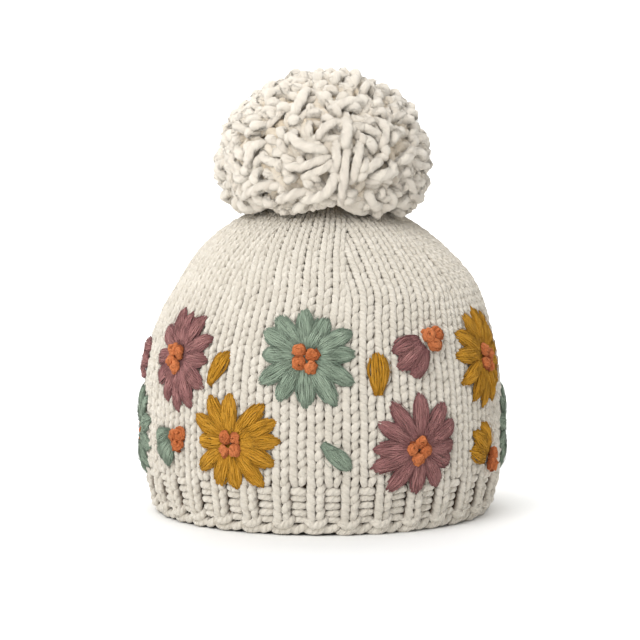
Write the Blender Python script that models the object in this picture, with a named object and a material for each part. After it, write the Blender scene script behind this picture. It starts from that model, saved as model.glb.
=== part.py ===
"""A child's chunky knit toque with an embroidered flower band and a yarn pompom.

It stands on its rim. The origin is the middle of the rim on the surface, +Z is up,
the front faces -Y and +X is the wearer's left. Sizes are in metres.
"""

import math

import bmesh
import bpy
import numpy as np
from mathutils import Matrix, Vector

# Knitted body
HAT_WIDTH = 0.164  # side to side, over the widest round of knitting
HAT_DEPTH = 0.172  # front to back, over the same round
BODY_HEIGHT = 0.1425  # rim to the top of the crown
WIDEST_HEIGHT = 0.034  # the widest round, above the rim
HEM_DRAW_IN = 0.0064  # how far the rim draws in from the widest round, on each side
CROWN_FULLNESS = 2.6  # exponent of the crown's outline: 2 is an ellipse, more is fuller
WALL = 0.006  # thickness of the knitted cloth
HEM_ROUND = 0.0015  # rounded outer edge of the cast-on
STITCHES = 66  # knit columns round the body; two make one rib
RIB_HEIGHT = 0.0185  # height of the ribbed band
RIB_FADE = 0.004  # height over which the ribs run out into plain knitting
RIB_RELIEF = 0.0018  # depth of a purl column below a knit one
WALE_RELIEF = 0.0004  # depth of the groove between plain knit columns
POINTS_PER_STITCH = 2
CROWN_BANDS = 7
LINING_BANDS = 4

# Pompom
POMPOM_WIDTH = 0.100
POMPOM_RISE = 0.0585  # its top above the top of the crown
POMPOM_WAIST = 0.0150  # its widest round above the top of the crown
POMPOM_DROP = 0.0205  # its outline's lowest point, inside the hat, below the same
POMPOM_SEAT = 0.034  # radius of the underside that rests on the crown
POMPOM_SIDES = 33
POMPOM_GAP = 0.0005  # between the crown and the pompom's hollowed underside
LOCK_COUNT = 46
LOCK_REACH = 0.0065  # how far a lock stands out of the pompom's core
LOCK_WIDTH = 0.0150
LOWEST_LOCK = -22  # degrees from the pompom's widest round

# Embroidery
SEAT_GAP = 0.00035  # between two pieces that rest on each other
FLOWER_RADIUS = 0.022
BUD_LENGTH = 0.0180
LEAF_LENGTH = 0.018
LEAF_WIDTH = 0.0076
PETAL_LIFT = 0.0018  # thickness of a petal's padding
PETAL_NOTCH = 0.70  # radius of the notch between two petals, as a share of a tip's
NOTCH_CREST = 0.72  # padding at a notch, as a share of the padding along a petal
KNOT_LIFT = 0.0014  # height of a flower's knots above its petals
KNOT_RING = 0.0072  # outer radius of a cluster of knots
KNOT_CREASE = 0.78  # radius of the crease between two knots, as a share of the cluster's
BUD_KNOT_RING = 0.0058
BUD_KNOT_LIFT = 0.0030  # a bud's knots are worked on the knit itself
BUD_FOOT = 0.42  # from a bud's middle back to its foot, as a share of its length
SECOND_HALF = 178  # degrees from the first half of the band to its repeat

DEPTH_RATIO = HAT_DEPTH / HAT_WIDTH
GOLDEN_ANGLE = math.pi * (3 - math.sqrt(5))

# One half of the band, which is worked twice round the hat. Azimuth is in degrees from
# the front towards +X and height is a share of BODY_HEIGHT. Directions and turns are in
# degrees, from sideways towards up. A petal is (direction, share of FLOWER_RADIUS).
FLOWERS = (
    # colour, azimuth, height, turn of the knots, petals
    ("mauve", -52.5, 0.529, 20, (
        (-173, 0.95), (-144, 1.00), (-112, 1.01), (-86, 1.10), (-65, 1.08), (-37, 0.96),
        (-2, 0.79), (28, 0.92), (65, 0.95), (93, 0.90), (115, 1.05), (148, 1.00),
    )),
    ("sage", -5.5, 0.555, 30, (
        (-149, 1.07), (-121, 1.03), (-88, 1.02), (-58, 1.14), (-30, 1.10), (2, 0.98),
        (28, 1.01), (62, 0.86), (92, 0.95), (127, 0.97), (150, 0.96), (179, 0.87),
    )),
    ("mustard", 65.5, 0.521, 15, (
        (-154, 1.11), (-128, 1.09), (-105, 1.07), (-77, 1.00), (-48, 0.91), (-20, 0.90),
        (10, 0.88), (36, 0.92), (62, 0.98), (92, 1.02), (120, 1.02), (150, 1.08), (176, 1.10),
    )),
    ("sage", -86.5, 0.262, 0, (
        (-163, 0.91), (-132, 0.91), (-102, 0.93), (-72, 0.95), (-42, 1.02), (-13, 1.09),
        (16, 1.09), (45, 1.02), (72, 0.95), (100, 0.93), (134, 0.91), (166, 0.91),
    )),
    ("mustard", -29.0, 0.287, 45, (
        (-178, 0.80), (-142, 0.98), (-109, 0.97), (-84, 0.95), (-52, 1.09), (-24, 1.00),
        (3, 1.04), (25, 1.05), (48, 1.02), (95, 0.94), (123, 1.02), (153, 1.00),
    )),
    ("mauve", 31.5, 0.266, -20, (
        (-161, 1.13), (-131, 1.08), (-97, 0.94), (-60, 0.93), (-26, 0.84), (-1, 0.85),
        (27, 0.98), (54, 1.05), (90, 1.07), (125, 1.14), (150, 1.07), (179, 1.03),
    )),
)
BUDS = (
    # colour, azimuth, height, share of BUD_LENGTH, turn of the fan
    ("mauve", 28.9, 0.549, 1.0, -145),
    ("sage", -57.5, 0.226, 1.0, -145),
    ("mustard", 60.3, 0.242, 0.94, 140),
)
# A bud that is worked once, at the left edge, with its knots turned to the back
EDGE_BUD = ("mauve", -87.0, 0.495, 0.94, -15)
LEAVES = (
    # colour, azimuth, height, share of LEAF_LENGTH, share of LEAF_WIDTH, turn
    ("mustard", -34.2, 0.503, 0.94, 0.80, 60),
    ("mustard", 17.6, 0.497, 1.04, 1.15, 88),
    ("sage", 4.3, 0.245, 0.90, 0.82, -42),
)
COLOURS = {
    # base colour, roughness
    "cream": ((0.76, 0.71, 0.62), 0.9),
    "mauve": ((0.27, 0.125, 0.125), 0.95),
    "sage": ((0.21, 0.29, 0.21), 0.95),
    "mustard": ((0.55, 0.27, 0.035), 0.95),
    "orange": ((0.56, 0.17, 0.06), 0.95),
}


def half_width(height, inset=0.0):
    """Outline of the knitted body seen from the front, or of a surface inset in its wall."""
    full = HAT_WIDTH / 2 - inset
    if height <= WIDEST_HEIGHT:
        return full - HEM_DRAW_IN * (1 - height / WIDEST_HEIGHT) ** 2
    share = (height - WIDEST_HEIGHT) / (BODY_HEIGHT - inset - WIDEST_HEIGHT)
    return full * math.sqrt(max(0.0, 1 - share**CROWN_FULLNESS))


def crown_heights(bands, inset=0.0):
    """Rounds from the widest one up to the top, closer together where the crown turns over."""
    rise = BODY_HEIGHT - inset - WIDEST_HEIGHT
    return [
        WIDEST_HEIGHT + rise * math.sin(math.pi / 2 * i / bands)
        for i in range(1, bands + 1)
    ]


def on_hat(azimuth, height, lift=0.0):
    """Point on the body's outline surface, lifted along its normal."""

    def at(a, h):
        r = half_width(h)
        return Vector((r * math.sin(a), -DEPTH_RATIO * r * math.cos(a), h))

    step = 1e-4
    point = at(azimuth, height)
    if not lift:
        return point
    round_way = at(azimuth + step, height) - at(azimuth - step, height)
    up_way = at(azimuth, height + step) - at(azimuth, height - step)
    return point + round_way.cross(up_way).normalized() * lift


SURFACE_HEIGHTS = np.linspace(0.0, BODY_HEIGHT * 0.98, 400)
SURFACE_ARCS = np.concatenate(
    (
        [0.0],
        np.cumsum(
            np.hypot(
                np.diff(SURFACE_HEIGHTS),
                np.diff([half_width(h) for h in SURFACE_HEIGHTS]),
            )
        ),
    )
)


def worked_on_hat(azimuth, height, across, up, lift):
    """A flat design's point, laid on the body round a middle at azimuth and height."""
    arc = np.interp(height, SURFACE_HEIGHTS, SURFACE_ARCS) + up
    there = float(np.interp(arc, SURFACE_ARCS, SURFACE_HEIGHTS))
    mean_radius = half_width(there) * (1 + DEPTH_RATIO) / 2
    return on_hat(azimuth + across / mean_radius, there, lift)


def cleared_scene():
    for obj in list(bpy.data.objects):
        bpy.data.objects.remove(obj)
    for name in ("toque", "pompom_locks"):
        collection = bpy.data.collections.new(name)
        bpy.context.scene.collection.children.link(collection)
    bpy.data.collections["pompom_locks"].hide_render = True
    return bpy.data.collections["toque"], bpy.data.collections["pompom_locks"]


def yarn(colour):
    name = colour + "_yarn"
    made = bpy.data.materials.get(name)
    if made is None:
        made = bpy.data.materials.new(name)
        made.use_nodes = True
        shader = made.node_tree.nodes["Principled BSDF"]
        base, roughness = COLOURS[colour]
        shader.inputs["Base Color"].default_value = (*base, 1)
        shader.inputs["Roughness"].default_value = roughness
        shader.inputs["Metallic"].default_value = 0.0
    return made


def add_object(name, bm, colour, collection, smooth_angle=40):
    mesh = bpy.data.meshes.new(name)
    bm.to_mesh(mesh)
    bm.free()
    mesh.shade_smooth()
    mesh.set_sharp_from_angle(angle=math.radians(smooth_angle))
    mesh.materials.append(yarn(colour))
    obj = bpy.data.objects.new(name, mesh)
    collection.objects.link(obj)
    return obj


def turned(profile, steps):
    """A closed solid turned from a chain of (radius, height) whose ends lie on the axis."""
    bm = bmesh.new()
    chain = [bm.verts.new((0.0, -r, h)) for r, h in profile]
    for a, b in zip(chain, chain[1:]):
        bm.edges.new((a, b))
    bmesh.ops.spin(
        bm,
        geom=chain + bm.edges[:],
        axis=(0, 0, 1),
        cent=(0, 0, 0),
        angle=2 * math.pi,
        steps=steps,
    )
    bmesh.ops.remove_doubles(bm, verts=bm.verts, dist=1e-6)
    bmesh.ops.recalc_face_normals(bm, faces=bm.faces)
    return bm


def relief(azimuth, height):
    """How far the knit's surface lies inside the body's outline: ribs below, grooves above."""
    ribbed = min(1.0, max(0.0, (RIB_HEIGHT + RIB_FADE - height) / RIB_FADE))
    rib = RIB_RELIEF * (1 - math.cos(STITCHES / 2 * azimuth)) / 2
    wale = WALE_RELIEF * (1 - math.cos(STITCHES * azimuth)) / 2
    return ribbed * rib + (1 - ribbed) * wale * half_width(height) / (HAT_WIDTH / 2)


def knit_body(collection):
    """The hollow knitted shell: cast-on rim, ribbed band, plain sides and closed crown."""
    hem = half_width(0.0)
    outside = [(hem - HEM_ROUND, 0.0)]
    for height in (HEM_ROUND, RIB_HEIGHT / 2, RIB_HEIGHT, RIB_HEIGHT + RIB_FADE, WIDEST_HEIGHT):
        outside.append((half_width(height), height))
    outside += [(half_width(h), h) for h in crown_heights(CROWN_BANDS)]
    inside = [(half_width(0.0, WALL), 0.0), (half_width(WIDEST_HEIGHT, WALL), WIDEST_HEIGHT)]
    inside += [(half_width(h, WALL), h) for h in crown_heights(LINING_BANDS, WALL)]
    bm = turned(outside[::-1] + inside, STITCHES * POINTS_PER_STITCH)
    for vert in bm.verts:
        radius = math.hypot(vert.co.x, vert.co.y)
        if radius > half_width(vert.co.z) - WALL / 2 and radius > WALL:
            azimuth = math.atan2(vert.co.x, -vert.co.y)
            shrink = 1 - relief(azimuth, vert.co.z) / radius
            vert.co.x *= shrink
            vert.co.y *= shrink
        vert.co.y *= DEPTH_RATIO
    return add_object("knit_body", bm, "cream", collection)


def pompom_outline(angle, reach=0.0):
    """(radius, height) of the pompom at an angle above its widest round, less a reach."""
    waist = BODY_HEIGHT + POMPOM_WAIST
    rise = POMPOM_RISE - POMPOM_WAIST if angle > 0 else POMPOM_WAIST + POMPOM_DROP
    radius = (POMPOM_WIDTH / 2 - reach) * math.cos(angle)
    return radius, waist + (rise - (reach if angle > 0 else 0)) * math.sin(angle)


def pompom_lock(index, collection):
    """One lock of cut yarn, a lozenge rooted in the pompom's core."""
    low, high = math.sin(math.radians(LOWEST_LOCK)), math.sin(math.radians(86))
    angle = math.asin(low + (high - low) * (index + 0.5) / LOCK_COUNT)
    azimuth = index * GOLDEN_ANGLE
    radius, height = pompom_outline(angle, LOCK_REACH)
    root = Vector((radius * math.sin(azimuth), -radius * math.cos(azimuth), height))
    heart = Vector((0, 0, BODY_HEIGHT + POMPOM_WAIST))
    outwards = (root - heart).normalized()
    bm = bmesh.new()
    bmesh.ops.create_uvsphere(bm, u_segments=6, v_segments=3, radius=1.0)
    wide, long = LOCK_WIDTH / 2, LOCK_REACH
    turn = outwards.to_track_quat("Z", "Y").to_matrix().to_4x4()
    shape = Matrix.Diagonal((wide, wide * 0.85, long, 1))
    spun = Matrix.Rotation(index * 0.7, 4, "Z")
    bm.transform(Matrix.Translation(root) @ turn @ spun @ shape)
    return add_object(f"lock_{index:02d}", bm, "cream", collection)


def pompom(collection, locks):
    """The pompom: a core hollowed to sit on the crown, with locks of yarn fused to it."""
    crown = [(half_width(h), h) for h in reversed(crown_heights(CROWN_BANDS))]
    edge = float(np.interp(POMPOM_SEAT, [r for r, _ in crown], [h for _, h in crown]))
    seat = [(r, h) for r, h in crown if r < POMPOM_SEAT * 0.95] + [(POMPOM_SEAT, edge)]
    seat = [(r, h + POMPOM_GAP) for r, h in seat]
    angles = [math.radians(a) for a in (-29, -12, 6, 24, 42, 60, 76, 90)]
    side = [pompom_outline(a, LOCK_REACH) for a in angles]
    bm = turned(seat + side, POMPOM_SIDES)
    for vert in bm.verts:
        vert.co.y *= DEPTH_RATIO if vert.co.z < BODY_HEIGHT + POMPOM_GAP * 2 else 1.0
    core = add_object("pompom", bm, "cream", collection)
    for index in range(LOCK_COUNT):
        pompom_lock(index, locks)
    fuse = core.modifiers.new("fuse_locks", "BOOLEAN")
    fuse.operation = "UNION"
    fuse.operand_type = "COLLECTION"
    fuse.collection = locks
    fuse.solver = "EXACT"
    return core


def pad(name, place, outline, colour, collection, base, lift, rings=(0.5, 0.86)):
    """A padded patch of embroidery on the hat. The outline holds (across, up, crest) round
    a middle, and crest is the share of the lift that the padding has on that ray."""
    azimuth, height = place
    bm = bmesh.new()

    def spot(across, up, rise):
        return bm.verts.new(worked_on_hat(azimuth, height, across, up, rise))

    def ring(share, above):
        return [
            spot(x * share, y * share, base + above * crest) for x, y, crest in outline
        ]

    rim = ring(1.0, 0.0)
    tops = [ring(s, lift * math.sqrt(1 - s**4)) for s in rings]
    under = ring(rings[0], 0.0)
    for middle, chain in ((spot(0, 0, base + lift), tops + [rim]), (spot(0, 0, base), [under, rim])):
        for i in range(len(outline)):
            j = (i + 1) % len(outline)
            bm.faces.new((middle, chain[0][i], chain[0][j]))
            for inner, outer in zip(chain, chain[1:]):
                bm.faces.new((inner[i], outer[i], outer[j], inner[j]))
    bmesh.ops.recalc_face_normals(bm, faces=bm.faces)
    return add_object(name, bm, colour, collection, smooth_angle=60)


def star(petals):
    """Outline of a ring of petals: a tip for each petal and a notch before the next one."""
    made = []
    for (turn, reach), (next_turn, next_reach) in zip(petals, petals[1:] + petals[:1]):
        step = (next_turn - turn) % 360
        notch = PETAL_NOTCH * (reach + next_reach) / 2
        for angle, share, crest in ((turn, reach, 1.0), (turn + step / 2, notch, NOTCH_CREST)):
            radius = FLOWER_RADIUS * share
            x = radius * math.cos(math.radians(angle))
            y = radius * math.sin(math.radians(angle))
            made.append((x, y, crest))
    return made


def lobes(radius, count, turn):
    """Outline of a cluster of French knots: three points for each knot."""
    made = []
    for i in range(3 * count):
        angle = math.radians(turn) + 2 * math.pi * i / (3 * count)
        reach, crest = (radius * KNOT_CREASE, 0.8) if i % 3 == 0 else (radius, 1.0)
        made.append((reach * math.cos(angle), reach * math.sin(angle), crest))
    return made


def fan(length, turn):
    """Outline of a bud: three petals side by side that spread away from the bud's foot."""
    made = []
    for along, aside, crest in (
        (-0.42, 0.0, 0.8),
        (-0.25, 0.30, 0.9),
        (0.20, 0.44, 0.9),
        (0.46, 0.40, 1.0),
        (0.40, 0.20, 0.8),
        (0.58, 0.0, 1.0),
        (0.40, -0.20, 0.8),
        (0.46, -0.40, 1.0),
        (0.20, -0.44, 0.9),
        (-0.25, -0.30, 0.9),
    ):
        x, y = along * length, aside * length
        c, s = math.cos(math.radians(turn)), math.sin(math.radians(turn))
        made.append((x * c - y * s, x * s + y * c, crest))
    return made


def leaf(length, width, turn):
    """Outline of a single stitched leaf, longer than wide."""
    made = []
    for i in range(8):
        angle = 2 * math.pi * i / 8
        x = length / 2 * math.cos(angle)
        y = width / 2 * math.sin(angle)
        c, s = math.cos(math.radians(turn)), math.sin(math.radians(turn))
        made.append((x * c - y * s, x * s + y * c, 1.0))
    return made


def knots(name, place, radius, count, turn, collection, base, lift):
    outline = lobes(radius, count, turn)
    return pad(name, place, outline, "orange", collection, base, lift, rings=(0.6, 0.9))


def beside(place, across, up):
    """The place on the body that lies across and up from another one."""
    azimuth, height = place
    arc = np.interp(height, SURFACE_HEIGHTS, SURFACE_ARCS) + up
    there = float(np.interp(arc, SURFACE_ARCS, SURFACE_HEIGHTS))
    mean_radius = half_width(there) * (1 + DEPTH_RATIO) / 2
    return azimuth + across / mean_radius, there


def bud(name, design, shift, collection):
    """A fan of petals, with its knots worked on the knit just behind its foot."""
    colour, azimuth, height, size, turn = design
    place = (math.radians(azimuth + shift), height * BODY_HEIGHT)
    length = size * BUD_LENGTH
    pad(name + "_petals", place, fan(length, turn), colour, collection, SEAT_GAP, PETAL_LIFT)
    back = BUD_FOOT * length + BUD_KNOT_RING + SEAT_GAP
    c, s = math.cos(math.radians(turn)), math.sin(math.radians(turn))
    foot = beside(place, -back * c, -back * s)
    knots(name + "_knots", foot, BUD_KNOT_RING, 3, turn, collection, SEAT_GAP, BUD_KNOT_LIFT)


def embroidery(collection):
    """The band of flowers, buds and leaves. Its half is worked twice round the hat."""
    on_petals = 2 * SEAT_GAP + PETAL_LIFT
    buds = 0
    for half, shift in enumerate((0, SECOND_HALF)):
        for i, (colour, azimuth, height, turn, petals) in enumerate(FLOWERS):
            name = f"flower_{half * len(FLOWERS) + i + 1:02d}"
            place = (math.radians(azimuth + shift), height * BODY_HEIGHT)
            pad(name + "_petals", place, star(petals), colour, collection, SEAT_GAP, PETAL_LIFT)
            knots(name + "_knots", place, KNOT_RING, 4, turn, collection, on_petals, KNOT_LIFT)
        for design in BUDS if half else BUDS + (EDGE_BUD,):
            buds += 1
            bud(f"bud_{buds:02d}", design, shift, collection)
        for i, (colour, azimuth, height, size, broad, turn) in enumerate(LEAVES):
            name = f"leaf_{half * len(LEAVES) + i + 1:02d}"
            place = (math.radians(azimuth + shift), height * BODY_HEIGHT)
            blade = leaf(size * LEAF_LENGTH, broad * LEAF_WIDTH, turn)
            pad(name, place, blade, colour, collection, SEAT_GAP, PETAL_LIFT, rings=(0.6,))


def main():
    toque, locks = cleared_scene()
    knit_body(toque)
    pompom(toque, locks)
    embroidery(toque)


main()
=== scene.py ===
import math

import bpy
import numpy as np
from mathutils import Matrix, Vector


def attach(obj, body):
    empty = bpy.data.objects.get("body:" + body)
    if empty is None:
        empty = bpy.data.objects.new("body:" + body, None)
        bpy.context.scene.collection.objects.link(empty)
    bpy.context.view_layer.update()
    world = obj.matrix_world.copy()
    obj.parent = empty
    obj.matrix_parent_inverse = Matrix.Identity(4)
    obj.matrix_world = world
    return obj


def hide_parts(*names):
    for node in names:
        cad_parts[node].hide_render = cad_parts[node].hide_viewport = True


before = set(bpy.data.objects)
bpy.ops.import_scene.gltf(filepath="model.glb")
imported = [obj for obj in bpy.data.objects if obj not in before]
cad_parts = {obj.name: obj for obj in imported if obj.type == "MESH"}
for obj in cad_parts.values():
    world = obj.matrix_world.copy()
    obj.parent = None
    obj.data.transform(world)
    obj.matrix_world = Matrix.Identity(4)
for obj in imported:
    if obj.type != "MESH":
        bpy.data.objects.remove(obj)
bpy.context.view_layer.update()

mm = 0.001

# The outline of the hat, in the sizes that the model was made to
hat = {
    "width": 0.164,
    "depth": 0.172,
    "height": 0.1425,
    "widest": 0.034,  # height of the widest round
    "hemDrawIn": 0.0064,
    "fullness": 2.6,
    "cloth": 0.006,
    "lean": 0.0020,  # how far the shoulder of the crown sags sideways
    "leanHeight": 0.104,
    "leanSpread": 0.014,
    "columns": 66,  # knit columns round the body
    "row": 0.0040,  # height of one row
    "firstColumn": -2.18,  # azimuth of the first knit column, in degrees
    "sectors": 8,  # wedges of the crown
    "decreaseLine": 6.0,  # azimuth of the first line of decreases, in degrees
    "decreaseFrom": 0.92,  # share of the widest radius where the crown starts to lose stitches
    "runOut": 0.5,  # how fast they go: 1.0 keeps the columns as wide as on the body
    "swirl": 30.0,  # degrees that the lines of decreases turn by on their way to the top
    "swirlPower": 1.7,
}


def linearColour(hexCode):
    channels = [int(hexCode[i : i + 2], 16) / 255 for i in (0, 2, 4)]
    return [c / 12.92 if c <= 0.04045 else ((c + 0.055) / 1.055) ** 2.4 for c in channels] + [1.0]


# Adds a node, sets it up, links or fills its inputs and gives back one of its outputs
def addNode(tree, kind, links=None, out=0, **settings):
    node = tree.nodes.new(kind)
    for name, value in settings.items():
        setattr(node, name, value)
    for socket, value in (links or {}).items():
        if isinstance(value, bpy.types.NodeSocket):
            tree.links.new(value, node.inputs[socket])
        else:
            node.inputs[socket].default_value = value
    return node if out is None else node.outputs[out]


def startTree(name, inputs):
    tree = bpy.data.node_groups.new(name, "GeometryNodeTree")
    tree.interface.new_socket("Geometry", in_out="INPUT", socket_type="NodeSocketGeometry")
    for label, kind in inputs.items():
        tree.interface.new_socket(label, in_out="INPUT", socket_type="NodeSocket" + kind)
    tree.interface.new_socket("Geometry", in_out="OUTPUT", socket_type="NodeSocketGeometry")
    return tree, tree.nodes.new("NodeGroupInput").outputs


def linked(name, data):
    thing = bpy.data.objects.new(name, data)
    bpy.context.scene.collection.objects.link(thing)
    return thing


# Points that a tree grows something on, with a named attribute for each array
def pointCloud(name, places, attributes):
    mesh = bpy.data.meshes.new(name)
    mesh.from_pydata([tuple(p) for p in places], [], [])
    for label, values in attributes.items():
        values = np.asarray(values, np.float32)
        kind, field = ("FLOAT_VECTOR", "vector") if values.ndim == 2 else ("FLOAT", "value")
        mesh.attributes.new(label, kind, "POINT").data.foreach_set(field, values.ravel())
    return linked(name, mesh)


# Runs a tree on an object and leaves its result there as a plain mesh
def grow(piece, tree, **inputs):
    modifier = piece.modifiers.new("grow", "NODES")
    modifier.node_group = tree
    for item in tree.interface.items_tree:
        label = item.name.replace(" ", "")
        label = label[:1].lower() + label[1:]
        if item.in_out == "INPUT" and label in inputs:
            modifier[item.identifier] = inputs[label]
    bpy.context.view_layer.update()
    evaluated = piece.evaluated_get(bpy.context.evaluated_depsgraph_get())
    mesh = bpy.data.meshes.new_from_object(evaluated)
    piece.modifiers.clear()
    piece.data = mesh
    mesh.name = piece.name
    return piece


# Lets the piece ride with the hat, hides the parts of the model that it stands in for and prints its
# triangles
def settle(piece, slot, *nodes):
    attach(piece, "root")
    if nodes:
        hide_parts(*nodes)
    print(f"{piece.name}: {sum(len(face.vertices) - 2 for face in piece.data.polygons)} triangles")


# The hat's surface: azimuth from the front towards +X in radians, arc length from the rim
def halfWidth(height, inset=0.0):
    full = hat["width"] / 2 - inset
    height = np.asarray(height, float)
    below = full - hat["hemDrawIn"] * (1 - np.minimum(height, hat["widest"]) / hat["widest"]) ** 2
    share = np.clip((height - hat["widest"]) / (hat["height"] - inset - hat["widest"]), 0, 1)
    return np.where(height <= hat["widest"], below, full * np.sqrt(1 - share ** hat["fullness"]))


depthRatio = hat["depth"] / hat["width"]
# the profile is read at many heights, which get closer together near the top
shoulder = 0.11
nearTop = hat["height"] - (hat["height"] - shoulder) * np.linspace(0.999, 0, 900) ** 2
profileHeights = np.concatenate((np.linspace(0, shoulder, 600), nearTop))
profileRadii = halfWidth(profileHeights)
profileSteps = np.hypot(np.diff(profileHeights), np.diff(profileRadii))
profileArcs = np.concatenate(([0], np.cumsum(profileSteps)))
arcToApex = profileArcs[-1]


def arcAt(height):
    return np.interp(height, profileHeights, profileArcs)


def leanAt(height):
    return hat["lean"] * np.exp(-(((height - hat["leanHeight"]) / hat["leanSpread"]) ** 2))


def onHat(azimuth, arc, lift=0.0):
    radius = np.interp(arc, profileArcs, profileRadii)
    height = np.interp(arc, profileArcs, profileHeights)
    step = 2e-4
    above, below = (np.interp(arc + side, profileArcs, profileRadii) for side in (step, -step))
    slopeR = (above - below) / (2 * step)
    slopeH = np.sqrt(np.maximum(0, 1 - np.minimum(slopeR**2, 1)))
    s, c = np.sin(azimuth), np.cos(azimuth)
    out = np.stack(np.broadcast_arrays(slopeH * s, -slopeH * c / depthRatio, -slopeR), -1)
    out = out / np.linalg.norm(out, axis=-1, keepdims=True)
    place = np.stack(np.broadcast_arrays(radius * s + leanAt(height), -depthRatio * radius * c, height), -1)
    return place + out * np.asarray(lift)[..., None], out


# How many knit columns a wedge of the crown is wide. They run out more slowly than the crown
# narrows, so they get closer to each other towards the top.
def columnsInWedge(arc):
    full = hat["columns"] / hat["sectors"]
    share = np.interp(arc, profileArcs, profileRadii) / (hat["width"] / 2 * hat["decreaseFrom"])
    return np.where(arc < arcAt(hat["widest"]), full, full * np.minimum(1, share) ** hat["runOut"])


# Azimuth of a knit column, and how many columns its middle is from its wedge's right edge.
# Columns at the left edge run into the line of decreases one after another.
def columnAt(column, arc):
    wedgeAngle = 360 / hat["sectors"]
    degrees = hat["firstColumn"] + np.asarray(column) * 360 / hat["columns"]
    rightLine = hat["decreaseLine"] + wedgeAngle * np.ceil((degrees - hat["decreaseLine"]) / wedgeAngle)
    place = (rightLine - degrees) / 360 * hat["columns"]
    # the first column of a wedge moves up to its line before the others run out
    left = columnsInWedge(arc)
    started = np.minimum(1, 2 * (hat["columns"] / hat["sectors"] - left))
    place = place + (0.5 - place % 1) * started**2 * (3 - 2 * started)
    narrowed = 1 - np.interp(arc, profileArcs, profileRadii) * 2 / hat["width"]
    onBody = arc < arcAt(hat["widest"])
    turned = np.where(onBody, 0, hat["swirl"] * np.maximum(0, narrowed) ** hat["swirlPower"])
    return np.radians(rightLine + turned - place / left * wedgeAngle), place


# Patterns of all the wools. Wool fibres are too fine to show, so hairs are drawn coarser: on
# the knit's yarn about 0.5 mm apart and three times as long, with finer ones between them.
pattern = {
    "hairs": 4.2,  # waves for each radius of the strand
    "stretch": (0, 0, 160),  # radii that the noise passes in a metre along the strand
    "patches": 160.0,  # waves in a metre: the colour is uneven over about 6 mm
    "lint": 1900.0,  # finer than 1 mm
    "apart": 37.0,  # keeps the noise of two strands apart
    "ballShare": 0.56,
}
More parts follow.
